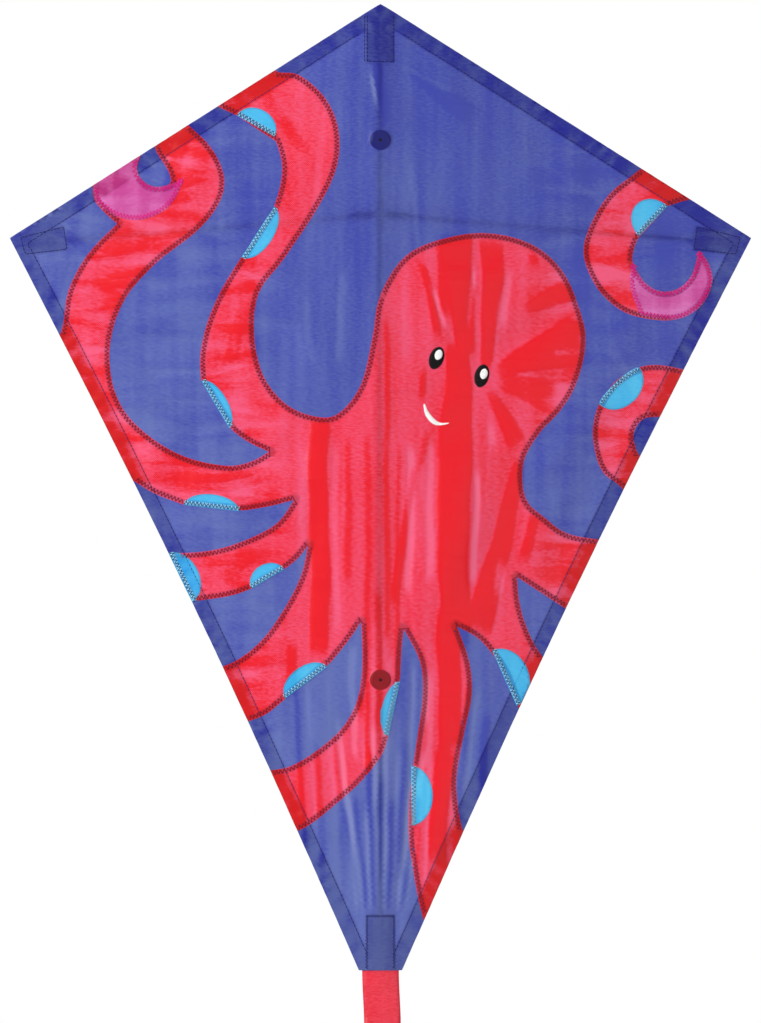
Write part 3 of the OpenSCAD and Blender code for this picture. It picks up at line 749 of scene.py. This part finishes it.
def simulate_cloth():
    """Lets the sail hang from its pockets and spine, gathered a little along its seams and round the face.

    Returns how far it stands back, in mm, on the square grid that relief() reads.
    """
    columns = int((HALF_SPAN + 5) * 2 / SIM_STEP) + 2
    rows = int((KITE_H + 20) / SIM_STEP) + 2
    s, z = np.meshgrid(SIM_LOW[0] + SIM_STEP * np.arange(columns), SIM_LOW[1] + SIM_STEP * np.arange(rows),
                       indexing="ij")
    spots = np.stack([s, z], -1).reshape(-1, 2)
    in_sail = inside(spots, [edge])
    number = np.full(len(spots), -1)
    number[in_sail] = np.arange(in_sail.sum())
    spots = spots[in_sail]
    quads = number[np.array([(a, d, c, b) for a, b, c, d in grid_faces(columns, rows)])]
    faces = quads[quads.min(1) >= 0].tolist()
    mesh = bpy.data.meshes.new("hanging sail")
    start = 0.3 * np.sin(spots[:, 0] / 17) * np.sin(spots[:, 1] / 29) + 0.2 * rng.standard_normal(len(spots))
    mesh.from_pydata([(x * MM, y * MM, h * MM) for (x, h), y in zip(spots, start)], [], faces)
    sail = add_object("hanging sail", mesh)

    out_from_spine, height = np.abs(spots[:, 0]), spots[:, 1]
    rim = distance(spots, [edge])
    seam = distance(spots, rings_of(SEAMED))
    face = distance(spots, rings_of(FACE_NODES))
    in_pocket = (out_from_spine < POCKET_HALF) & ((height > NOSE_POCKET_Z) | (height < FOOT_POCKET_Z))
    at_tip = (out_from_spine > HALF_SPAN - 42) & (np.abs(height - TIP_Z) < 14)
    held = np.where(in_pocket | at_tip | (out_from_spine < SIM_STEP * 0.7), 1.0, 0.0)
    held = np.maximum(held, 0.25 * (rim < HEM_W))
    gathered = np.maximum((seam < SIM_STEP * 0.6) * 0.75, (face < SIM_STEP * 0.8) * 1.0)
    gathered = np.maximum(gathered, (rim < HEM_W) * 0.45)
    for name, weights in (("held", held), ("gathered", gathered)):
        group = sail.vertex_groups.new(name=name)
        for k in np.nonzero(weights > 0)[0]:
            group.add([int(k)], float(weights[k]), "REPLACE")

    cloth = sail.modifiers.new("cloth", "CLOTH")
    settings = cloth.settings
    settings.quality = 7
    settings.mass = 0.002
    settings.tension_stiffness = settings.compression_stiffness = 12
    settings.shear_stiffness = 6
    settings.bending_stiffness = 0.02
    settings.air_damping = 2
    settings.vertex_group_mass = "held"
    settings.pin_stiffness = 1
    settings.vertex_group_shrink = "gathered"
    settings.shrink_min = -SLACK
    settings.shrink_max = GATHER
    cloth.point_cache.frame_start = 1
    cloth.point_cache.frame_end = SIM_FRAMES
    scene = bpy.context.scene
    gravity = tuple(scene.gravity)
    scene.gravity = (0, -2.5, -9.81)
    for frame_number in range(1, SIM_FRAMES + 1):
        scene.frame_set(frame_number)
    hung = sail.evaluated_get(bpy.context.evaluated_depsgraph_get()).to_mesh()
    back = np.array([v.co.y for v in hung.vertices]) / MM
    sail.modifiers.remove(cloth)
    scene.gravity = gravity
    scene.frame_set(1)
    bpy.data.objects.remove(sail)
    bpy.data.meshes.remove(mesh)

    heights = np.full(columns * rows, np.nan)
    heights[in_sail] = back
    heights = heights.reshape(columns, rows)
    while np.isnan(heights).any():
        shifted = np.array([np.roll(heights, k, axis) for axis in (0, 1) for k in (-1, 1)])
        count = (~np.isnan(shifted)).sum(0)
        known = np.nansum(shifted, axis=0) / np.maximum(count, 1)
        heights = np.where(np.isnan(heights) & (count > 0), known, heights)
    for _ in range(2):
        for axis in (0, 1):
            heights = (np.roll(heights, 1, axis) + 2 * heights + np.roll(heights, -1, axis)) / 4
    return heights * SIM_SHARE


sim_heights = simulate_cloth()


Cut = namedtuple("Cut", "piece rings side area size")   # a piece, its outlines, and its flat area and size


def cloth_piece(name, node, level, material, step=GRID, cuts=(), under=()):
    """A piece of the sail or an inlay, which reaches at most SEAM_LAP under the pieces named in under."""
    side = side_of(node)
    rings = loops(node)
    gone = [*holes, *cuts]
    over = rings_of(under)

    def keep(p):
        own = inside(p, rings) & ~covered(p, gone)
        if over:
            own &= ~inside(p, over) | (distance(p, over) < SEAM_LAP)
        return own

    points, faces = triangulate(rings, gone + patch_rims, keep, step)
    faces = facing_front(points, faces)
    # the red pieces get painted shade in front of their hems
    piece = make_mesh(name, surface(points[:, 0], points[:, 1], level * LAYER), faces, material, points,
                      hem_shade=0.7 if material == RED else 0)
    a = points[faces]
    area = 0.5 * np.abs(np.cross(a[:, 1] - a[:, 0], a[:, 2] - a[:, 0])).sum() * MM * MM
    size = (points.max(0) - points.min(0)) * MM
    on_wing(piece)
    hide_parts(node)
    return Cut(piece, rings, side, area, size)


def area_of(piece):
    """The area of a piece's cloth, in square metres."""
    return sum(face.area for face in piece.data.polygons)


def hem_piece(name, rings, level, material):
    """The folded edge behind a piece, with its turn. None if the piece doesn't reach the kite's edge."""

    def in_hem(p):
        own = inside(p, rings) & ~inside(p, [hem_line]) & inside(p, [edge])
        return own & ~covered(p, sucker_cuts) if level == 1 else own

    points, faces = triangulate(rings, [hem_line], in_hem)
    if len(faces) < 4:
        return None
    faces = facing_front(points, faces)[:, ::-1]
    depth = -HEM_BEHIND + 0.5 * level * LAYER
    turn = [(level * LAYER, 0), (level * LAYER, TURN_OUT), (depth, TURN_OUT), (depth, 0)]
    flats = [points]
    lifts = [np.full(len(points), depth)]
    all_faces = [*faces]
    base = len(points)
    for ring in rings:
        closed = refine(ring, GRID)
        near = distance(closed, [edge]) < 0.15
        both = near & np.roll(near, -1)
        out = edge_normals(closed)
        for k in np.nonzero(both)[0]:
            pair = [k, (k + 1) % len(closed)]
            for lift, push in turn:
                flats.append(closed[pair] + out[pair] * push)
                lifts.append(np.full(2, lift))
            all_faces += [[base + j, base + j + 1, base + j + 3, base + j + 2] for j in (0, 2, 4)]
            base += 2 * len(turn)
    flat = np.concatenate(flats)
    verts = surface(flat[:, 0], flat[:, 1], np.concatenate(lifts))
    hem = make_mesh(name, verts, all_faces, material, flat)
    on_wing(hem)
    return hem


def edge_normals(ring):
    """Unit directions out of a ring that has its cloth on the left."""
    d = np.roll(ring, -1, 0) - np.roll(ring, 1, 0)
    return np.stack([d[:, 1], -d[:, 0]], 1) / np.maximum(np.linalg.norm(d, axis=1), 1e-9)[:, None]


# ---- Stitches ----

STITCH_INSET = 2.2     # from the edge of the cloth to the middle of its zigzag
STITCH_W = 3.4
STITCH_STEP = 1.5
SUCKER_INSET = 2.1
CLOSE_STEP = 0.8       # the pale zigzags of the suckers are closer
DOTS_W = 3.0

def closed_line(ring):
    return np.concatenate([ring, ring[:1]])


def open_paths(ring, away_from, hidden_by):
    """The stretches of a ring that are not on the kite's edge, on the fold line or under another piece."""
    ring = refine(ring, 2.0)
    free = (distance(ring, away_from) > 0.4) & (np.abs(ring[:, 0]) > 0.3)
    if hidden_by:
        free &= ~covered(ring, hidden_by) & (distance(ring, hidden_by) > 0.3)
    if free.all():
        return [closed_line(ring)]
    if not free.any():
        return []
    start = int(np.nonzero(~free)[0][0])
    ring, free = np.roll(ring, -start, 0), np.roll(free, -start)
    paths, run = [], []
    for p, f in zip(ring, free):
        if f:
            run.append(p)
        elif run:
            paths.append(np.array(run))
            run = []
    if run:
        paths.append(np.array(run))
    return [p for p in paths if len(p) > 3]


def spaced(path, step):
    """Points at even steps along an open line, with the direction of the line at each."""
    along = np.concatenate([[0], np.cumsum(np.linalg.norm(np.diff(path, axis=0), axis=1))])
    n = max(2, int(round(along[-1] / step)))
    at = np.linspace(0, along[-1], n + 1)
    p = np.stack([np.interp(at, along, path[:, k]) for k in (0, 1)], 1)
    d = np.gradient(p, axis=0)
    return p, d / np.maximum(np.linalg.norm(d, axis=1), 1e-9)[:, None]


def zigzag(path, inset, width, step):
    """Corners of a zigzag that runs beside a line, on its left."""
    p, d = spaced(path, step)
    left = np.stack([-d[:, 1], d[:, 0]], 1)
    swing = np.where(np.arange(len(p)) % 2, 0.5, -0.5)[:, None] * width
    return p + left * (inset + swing)


def dashes(path, inset, length, gap):
    """Pairs of ends of straight stitches beside a line, on its left."""
    p, d = spaced(path, length + gap)
    left = np.stack([-d[:, 1], d[:, 0]], 1)
    q = p + left * inset
    return [(q[k], q[k] + (q[k + 1] - q[k]) * length / (length + gap)) for k in range(len(q) - 1)]


def thread_mesh(name, stitches, lift, radius, material, arch=0.12):
    """Short threads, each from one needle hole to the next, raised a little in the middle."""
    stitches = [(np.asarray(a, float), np.asarray(b, float)) for a, b in stitches]
    a = np.array([s[0] for s in stitches])
    b = np.array([s[1] for s in stitches])
    across = b - a
    across = np.stack([-across[:, 1], across[:, 0]], 1)
    across /= np.maximum(np.linalg.norm(across, axis=1), 1e-9)[:, None]
    rings = []
    for share, height in ((0, -0.06), (0.25, arch), (0.75, arch), (1, -0.06)):
        middle = a + (b - a) * share
        for side_step, up in ((-1, 0), (0, 1), (1, 0), (0, -0.6)):
            p = middle + across * radius * side_step
            rings.append(surface(p[:, 0], p[:, 1], lift + height + up * radius))
    rings = np.array(rings).reshape(4, 4, len(a), 3).transpose(2, 0, 1, 3)
    verts = rings.reshape(-1, 3)
    faces = []
    for k in range(len(a)):
        base = 16 * k
        for i in range(3):
            for j in range(4):
                p, q = base + 4 * i + j, base + 4 * i + (j + 1) % 4
                faces.append((p, q, q + 4, p + 4))
        faces += [(base + 3, base + 2, base + 1, base), (base + 12, base + 13, base + 14, base + 15)]
    piece = make_mesh(name, verts, faces, material)
    on_wing(piece)
    return piece


def pairs(corners):
    return list(zip(corners[:-1], corners[1:]))


zigzags = {}
made = {}


def add_stitches(kind, side, stitches):
    """Keeps the stitches whose two ends are on the cloth."""
    ends = np.array(stitches)
    on_cloth = inside(ends[:, 0], [edge]) & inside(ends[:, 1], [edge])
    zigzags.setdefault((kind, side), []).extend(ends[on_cloth])


for hand in HANDS.values():
    node = f"sail_{hand}"
    made[node] = cloth_piece(f"{hand}_sail_cloth", node, 0, BLUE, under=SEAMED)
sucker_cuts = [inset_polygon(ring, SUCKER_LAP) for ring in rings_of(SUCKERS + ARM_TIPS)]
for node in SEAMED:
    name = {"octopus_left": "left_octopus", "octopus_right": "right_octopus"}.get(node, node)
    made[node] = cloth_piece(f"{name}_cloth", node, 1, RED, FINE_GRID, sucker_cuts)
for hand in HANDS.values():
    node = f"arm_tip_{hand}"
    made[node] = cloth_piece(f"{hand}_arm_tip_cloth", node, 2, MAGENTA)
for node in SUCKERS:
    made[node] = cloth_piece(node + "_cloth", node, 2, CYAN)

HEMS = [(["sail_left", "sail_right"], 0, BLUE, "blue_cloth"), (SEAMED, 1, SHADED_RED_HEM, "red_cloth"),
        (["arm_tip_left"], 2, MAGENTA, "magenta_cloth"), (["sucker_third_arm_edge"], 2, CYAN, "cyan_cloth")]
hems = {}
for nodes, level, material, slot in HEMS:
    for node in nodes:
        hems[node] = hem_piece(node + "_hem", made[node].rings, level, material)


def long_sides(ring, step):
    """The two sides of a shape between its far ends, and how far those ends are apart."""
    ring = refine(ring, step)
    gap = np.linalg.norm(ring[:, None] - ring[None], axis=-1)
    i, j = sorted(np.unravel_index(gap.argmax(), gap.shape))
    return ring[i : j + 1], np.concatenate([ring[j:], ring[: i + 1]]), gap.max()


def flat_side(ring):
    """The straight side of a sucker, from one of its corners to the other."""
    one, other, _ = long_sides(ring, 1.0)
    return one if len(one) < len(other) else other


on_top = rings_of(SUCKERS + ARM_TIPS)
for node, cut in made.items():
    kind = "tip" if node in ARM_TIPS else "red"
    for ring in [] if node.startswith("sail") else cut.rings:
        if node in SUCKERS:
            path = flat_side(ring)
            add_stitches("sucker", cut.side, pairs(zigzag(path, SUCKER_INSET, STITCH_W, CLOSE_STEP)))
            add_stitches("sucker_dots", cut.side, pairs(zigzag(path, SUCKER_INSET, DOTS_W, STITCH_STEP)))
            continue
        for path in open_paths(ring, [edge], on_top if kind == "red" else []):
            add_stitches(kind, cut.side, pairs(zigzag(path, STITCH_INSET, STITCH_W, STITCH_STEP)))

# each seam's thread, the layer it lies on, its slot and its thread's radius
THREADS = {
    "red": (RED_THREAD, 1, "red_cloth", 0.29),
    "tip": (MAGENTA_THREAD, 2, "magenta_cloth", 0.34),
    "sucker": (CYAN_THREAD, 2, "cyan_cloth", 0.27),
    "sucker_dots": (DOT_THREAD, 3.6, "cyan_cloth", 0.27),
}
for (kind, side), stitches in zigzags.items():
    material, level, slot, radius = THREADS[kind]
    thread_mesh(f"{kind}_zigzag_{HANDS[side]}", stitches, level * LAYER + 0.05,
                                            radius, material)

red_rings = rings_of(SEAMED)


def top_lift(points):
    """How far the topmost layer of cloth lies in front of the sail at each point."""
    return LAYER * inside(points, red_rings)


def front_stitches(name, stitches, material, radius=0.2):
    middles = np.array([(np.asarray(a) + np.asarray(b)) / 2 for a, b in stitches])
    return thread_mesh(name, stitches, top_lift(middles) + 0.05, radius, material)


for side in (-1, 1):
    line = hem_line[hem_line[:, 0] * side >= 0]
    line = line[np.argsort(-line[:, 1], kind="stable")]
    line = line[(line[:, 1] < NOSE_Z - 20) & (line[:, 1] > FOOT_Z + 2)]
    if side > 0:
        line = line[::-1]
    stitches = dashes(line, -1.2, 2.4, 0.9)
    front_stitches(f"hem_stitches_{HANDS[side]}", stitches, NAVY_THREAD,
                                                0.25)


# ---- Embroidered face ----


RAGGED = 0.12          # the satin stitches end this far from their shape's outline, to either side


def path_length(path):
    return np.linalg.norm(np.diff(path, axis=0), axis=1).sum()


def satin(ring, pitch, overrun=0.0, grow=0.0):
    """Threads that lie side by side across a shape, from one of its long sides to the other."""
    one, other, length = long_sides(ring, 0.4)
    count = int(length * (1 + overrun) / pitch)
    one, other = (spaced(side, path_length(side) / count)[0] for side in (one, other[::-1]))
    count = min(len(one), len(other))
    one, other = one[:count], other[:count]
    ragged = rng.uniform(-RAGGED, RAGGED, (count, 2))
    out = (one - other) / np.maximum(np.linalg.norm(one - other, axis=1), 0.3)[:, None]
    return [(a + o * grow + r[0], b - o * grow + r[1]) for a, b, o, r in zip(one, other, out, ragged)][1:-1]


def embroidery(name, node, pitch, radius, lift, material, arch, grow=0.0):
    piece = thread_mesh(name, satin(loops(node)[0], pitch, 0.1, grow), lift, radius, material, arch)
    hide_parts(node)
    return piece


FACE_LIFT = LAYER + 0.12
for hand in HANDS.values():
    embroidery(f"eye_embroidery_{hand}", f"eye_{hand}", 0.42, 0.32, FACE_LIFT, BLACK_THREAD,
               0.35)
    embroidery(f"eye_glint_embroidery_{hand}", f"eye_glint_{hand}", 0.4, 0.3, FACE_LIFT + 0.5, WHITE_THREAD,
               0.25)
embroidery("smile_embroidery", "smile", 0.4, 0.3, FACE_LIFT, WHITE_THREAD, 0.3, 0.4)


# ---- Pockets and patches ----


def behind(s, z, depth, share):
    """Points at a depth behind the sail. share says how much of the sail's lie they follow."""
    back = depth - CLOTH_DEPTH
    return surface(s, z, -back + relief(s, z) * (1 - share))


POCKET_SEW = CLOTH_DEPTH + 0.55    # the depth at which a pocket is sewn down
PATCH_BEHIND = 0.3
CAP_R = 2.6            # the radius of a rod's cap


def spine_pocket(name, node, open_z, closed_z, cap_end, side):
    """Half of the pocket that holds one end of the spine, arched back over the rod's cap."""
    rows = np.linspace(open_z, closed_z, 26)
    across = np.linspace(0, 1, 11)
    z, t = np.meshgrid(rows, across, indexing="ij")
    toward = np.sign(closed_z - open_z)
    lead = (NOSE_Z - z) * HALF_SPAN / (NOSE_Z - TIP_Z) - 0.4 if toward > 0 else 0 * z + POCKET_HALF
    s = t * np.minimum(POCKET_HALF, lead) * side
    closing = smooth((z - cap_end) / (closed_z - cap_end))
    arch = (0.5 + 0.5 * np.cos(np.pi * t)) * (1 - closing) * (CAP_R + 0.35 - POCKET_SEW)
    crumple = 0.22 * np.sin(z / 2.3 + 3 * t) * t * (1 - t) * 4
    verts = behind(s, z, POCKET_SEW + arch + crumple, t).reshape(-1, 3)
    flat = np.stack([s, z], -1).reshape(-1, 2)
    piece = make_mesh(name, verts, grid_faces(len(rows), len(across)), POCKET, flat, lie_share=0)
    on_wing(piece)
    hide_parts(node)
    return piece


def tip_pocket(name, node, side):
    """The pocket that holds the outer end of a half spar, arched back over its cap."""
    ring = loops(node)[0]
    corners = ring[np.argsort(np.abs(ring[:, 0]))][:4]
    inner = sorted((tuple(p) for p in corners[:2]), key=lambda p: p[1])
    outer = sorted((tuple(p) for p in corners[2:]), key=lambda p: p[1])
    a, b = np.meshgrid(np.linspace(0, 1, 16), np.linspace(0, 1, 13), indexing="ij")
    shares = ((1 - a) * (1 - b), (1 - a) * b, a * (1 - b), a * b)
    at = sum(np.array(corner) * share[..., None] for corner, share in zip(inner + outer, shares))
    arch = np.sin(np.pi * b) ** 1.5 * (1 - smooth((a - 0.86) / 0.14)) * (CAP_R - 0.2 - POCKET_SEW)
    verts = behind(at[..., 0], at[..., 1], POCKET_SEW + arch, 1 - arch / arch.max()).reshape(-1, 3)
    piece = make_mesh(name, verts, grid_faces(16, 13), POCKET, at.reshape(-1, 2), lie_share=0)
    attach(piece, "right_wing" if side > 0 else "left_wing")
    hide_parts(node)
    quad = np.array([inner[0], outer[0], outer[1], inner[1]])
    return piece, quad if side > 0 else quad[::-1]


pocket_pieces, tip_lengths = {}, {}
for side in (-1, 1):
    hand = HANDS[side]
    pocket_pieces["nose", side] = spine_pocket(f"nose_pocket_{hand}_half", "nose_pocket", NOSE_POCKET_Z,
                                               NOSE_Z - 0.8, SPINE_HIGH[2] + 2, side)
    pocket_pieces["foot", side] = spine_pocket(f"foot_pocket_{hand}_half", "foot_pocket", FOOT_POCKET_Z,
                                               FOOT_Z + 0.3, SPINE_LOW[2] - 2, side)
    piece, quad = tip_pocket(f"tip_pocket_{hand}_cloth", f"tip_pocket_{hand}", side)
    pocket_pieces["tip", side] = piece
    tip_lengths[side] = np.linalg.norm(quad[1] - quad[0])
    seams = [closed_line(inset_polygon(quad, 1.2))]
    nose_edge, foot_edge = POCKET_HALF - 1, POCKET_HALF - 0.5
    nose_side = np.linspace([side * nose_edge, NOSE_Z - 9], [side * nose_edge, NOSE_POCKET_Z], 12)
    seams.append(nose_side)
    if side < 0:
        seams.append(nose_side + [-2.2, 0])
    seams.append(np.array([[0.5 * side, NOSE_POCKET_Z + 1], [side * nose_edge, NOSE_POCKET_Z + 1]]))
    stitches = [stitch for seam in seams for stitch in dashes(seam, 0, 2.2, 0.8)]
    foot_side = np.linspace([side * foot_edge, FOOT_Z + 1], [side * foot_edge, FOOT_POCKET_Z - 1], 12)
    foot_top = np.linspace([side * 0.4, FOOT_POCKET_Z - 1.5], [side * foot_edge, FOOT_POCKET_Z - 1.5], 6)
    for seam in (foot_side, foot_top):
        stitches += pairs(zigzag(seam, 0, 2.0, 1.3))
    front_stitches(f"pocket_stitches_{hand}", stitches, NAVY_THREAD,
                                                   0.26)


def patch_half(name, node, z, side):
    """Half of the round patch behind a bridle hole."""
    angles = np.linspace(-np.pi / 2, np.pi / 2, 25)
    angle, r = np.meshgrid(angles, np.linspace(HOLE_R, PATCH_R, 6), indexing="ij")
    s, h = r * np.cos(angle) * side, z + r * np.sin(angle)
    verts = surface(s, h, -PATCH_BEHIND).reshape(-1, 3)
    flat = np.stack([s, h], -1).reshape(-1, 2)
    piece = make_mesh(name, verts, grid_faces(25, 6), PATCH, flat, lie_share=0)
    on_wing(piece)
    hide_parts(node)
    return piece


for spot, z in PATCH_Z.items():
    for side, hand in HANDS.items():
        node = f"bridle_patch_{spot}"
        patch_half(f"{node}_{hand}_half", node, z, side)


# ---- Tail ----

RIBBON_W = TAIL_HIGH[0] - TAIL_LOW[0]
RIBBON_Y = (TAIL_LOW[1] + TAIL_HIGH[1]) / 2
RIBBON_T = 0.45        # thick enough to be seen edge on
LAYERS = 25            # folded layers of ribbon in the hank


def ribbon_path():
    """The ribbon's middle line as [y, z], from where it is sewn behind the foot to its end in the hank."""
    hank_y = (HANK_LOW[1] + HANK_HIGH[1]) / 2
    pitch = (HANK_HIGH[1] - HANK_LOW[1] - 0.8) / (LAYERS - 1)
    line = [(RIBBON_Y, z) for z in np.linspace(FOOT_Z + 3, HANK_HIGH[2] + 8, 26)]
    first_y = hank_y - pitch * (LAYERS - 1) / 2
    for layer in range(LAYERS):
        y = first_y + layer * pitch
        top = HANK_HIGH[2] - 1.5 - rng.uniform(0, 3)
        low = HANK_LOW[2] + 1.5 + rng.uniform(0, 3)
        down = layer % 2 == 0
        ends = (top, low) if down else (low, top)
        for z in np.linspace(*ends, 22):
            squeeze = np.exp(-(((z - (top + low) / 2) / 14) ** 2))
            line.append((hank_y + (y - hank_y) * (1 - 0.3 * squeeze) + 0.08 * math.sin(z / 5 + layer), z))
        if layer < LAYERS - 1:
            for k in (1, 2, 3):
                turn = math.pi * k / 4
                line.append((y + pitch * (1 - math.cos(turn)) / 2,
                             ends[1] + (-1 if down else 1) * 0.9 * math.sin(turn)))
    return np.array(line)


def make_ribbon():
    path = ribbon_path()
    columns = 9
    along = np.concatenate([[0], np.cumsum(np.linalg.norm(np.diff(path, axis=0), axis=1))])
    across = np.linspace(-0.5, 0.5, columns)
    direction = np.gradient(path, axis=0)
    normal = np.stack([direction[:, 1], -direction[:, 0]], 1)
    normal /= np.maximum(np.linalg.norm(normal, axis=1), 1e-9)[:, None]
    verts, flat = [], []
    for face in (-0.5, 0.5):
        for (y, z), n, a in zip(path, normal, along):
            free = smooth((FOOT_Z + 4 - z) / 20) * smooth((a + 3) / 20)
            hanging = a < 60
            shift = 1.6 * smooth((FOOT_Z - z) / 46) if hanging else 1.6 + 0.5 * math.sin(a / 140)
            for c in across:
                wave = (0.5 * math.sin(z / 11 + 3 * c) + 0.35 * math.cos(6.3 * c)) * free if hanging else 0
                x = c * RIBBON_W + shift
                sewn = smooth((z - FOOT_Z + 16) / 14) if hanging else 0
                behind_foot = float(surface(x, FOOT_Z + 1, -0.75)[1]) / MM if sewn > 0 else y
                out = wave + face * RIBBON_T
                depth = y + n[0] * out + (behind_foot - y) * sewn
                verts.append((x * MM, depth * MM, (z + n[1] * out) * MM))
                flat.append((c * RIBBON_W, -a))
    count = len(path) * columns
    faces = grid_faces(len(path), columns)
    faces += [[count + k for k in reversed(f)] for f in faces]
    rim = [k * columns for k in range(len(path))]
    rim += [(len(path) - 1) * columns + k for k in range(1, columns)]
    rim += [k * columns + columns - 1 for k in range(len(path) - 2, -1, -1)]
    rim += range(columns - 2, 0, -1)
    faces += [(p, q, q + count, p + count) for p, q in zip(rim, rim[1:] + rim[:1])]
    ribbon = make_mesh("tail_ribbon_cloth", verts, faces, RIBBON, flat, lie_share=0)
    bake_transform(ribbon)
    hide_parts("tail_ribbon", "tail_hank")
    return ribbon


def make_tie():
    """A strip of ribbon round the middle of the hank, with its end tucked under."""
    low, high = box_mm("tail_tie")
    middle, half = (low + high) / 2, (high - low) / 2
    rows = 60
    verts, flat = [], []
    for k in range(rows):
        angle = 2 * math.pi * k / (rows - 1) * 1.12
        lap = 0.35 * k / (rows - 1)
        c, d = math.cos(angle), math.sin(angle)
        reach = (abs(c) ** 6 + abs(d) ** 6) ** (-1 / 6)
        for h in np.linspace(-1, 1, 5):
            bow = 0.25 * (1 - h * h)
            verts.append(((middle[0] + 1.6 + (half[0] - 0.8 + lap) * c * reach) * MM,
                          (middle[1] + ((half[1] - 3.2) + lap + bow) * d * reach) * MM,
                          (middle[2] + h * half[2] + 0.8 * math.sin(angle)) * MM))
            flat.append((h * half[2], k * 1.7))
    tie = make_mesh("tail_tie_strip", verts, grid_faces(rows, 5), RIBBON, flat, lie_share=0)
    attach(tie, "tail")
    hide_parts("tail_tie")
    return tie


ribbon = make_ribbon()
tie = make_tie()

# ---- Rods and fittings ----


def give(material, *nodes):
    for node in nodes:
        NODES[node].data.materials.clear()
        NODES[node].data.materials.append(material)


give(ROD, "spine_rod", "half_spar_left", "half_spar_right")
give(VINYL, "spine_cap_nose", "spine_cap_foot", "spar_cap_left", "spar_cap_right", "centre_hub",
     "spar_socket_left", "spar_socket_right")

# ---- The area of each sheet of cloth ----

def declare_cut(node):
    """Works out a panel's or an inlay's area, with its turned hem unless it is a sucker."""
    cut = made[node]
    hem = [hems[node]] if hems.get(node) else []
    area = cut.area
    if node not in SUCKERS:
        area += sum(area_of(h) for h in hem)


for side, hand in HANDS.items():
    declare_cut(f"sail_{hand}")
    declare_cut(f"octopus_{hand}")
for node in SEAMED[2:] + ARM_TIPS:
    declare_cut(node)
for node in SUCKERS:
    declare_cut(node)
